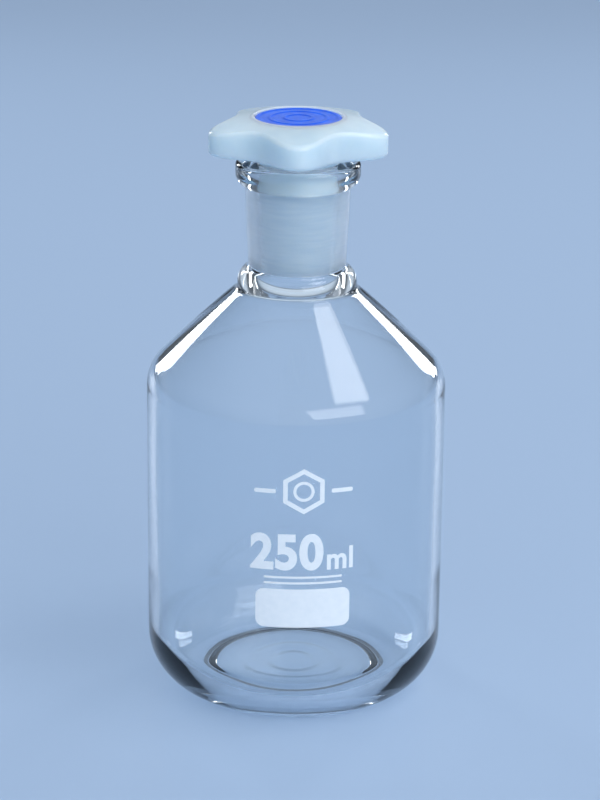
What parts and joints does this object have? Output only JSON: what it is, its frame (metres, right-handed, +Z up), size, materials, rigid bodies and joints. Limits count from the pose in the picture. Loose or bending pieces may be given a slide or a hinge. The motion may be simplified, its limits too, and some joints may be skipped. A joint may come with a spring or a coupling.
{
  "type": "reagent bottle",
  "caption": "Clear narrow-mouth laboratory reagent bottle with a rounded cylindrical body, conical shoulder, flanged ground neck and a hollow lobed stopper with a coloured insert.",
  "frame": {"origin": "on the bottle's axis, in the plane that its foot ring stands on", "axes": "+Z up along the bottle's axis; the enamel print faces -Y; +X is to the right as the print is read"},
  "size_m": [0.07, 0.0703, 0.1383],
  "materials": {
    "clear_glass": "polished",
    "natural_polyethylene": "satin",
    "blue_plastic": "satin",
    "white_enamel": "satin"
  },
  "bodies": {
    "bottle": {"bottle": "clear_glass", "writing_panel": "white_enamel"},
    "insert": {"colour_insert": "blue_plastic"},
    "stopper": {"stopper": "natural_polyethylene"}
  },
  "joints": [
    {"name": "stopper_lift", "type": "slide", "parent": "bottle", "child": "insert", "axis": [0, 0, 1], "range_m": [0, 0.04]},
    {"name": "stopper_twist", "type": "hinge", "parent": "insert", "child": "stopper", "pos_m": [0, 0, 0.1302], "axis": [0, 0, 1], "continuous": true}
  ]
}
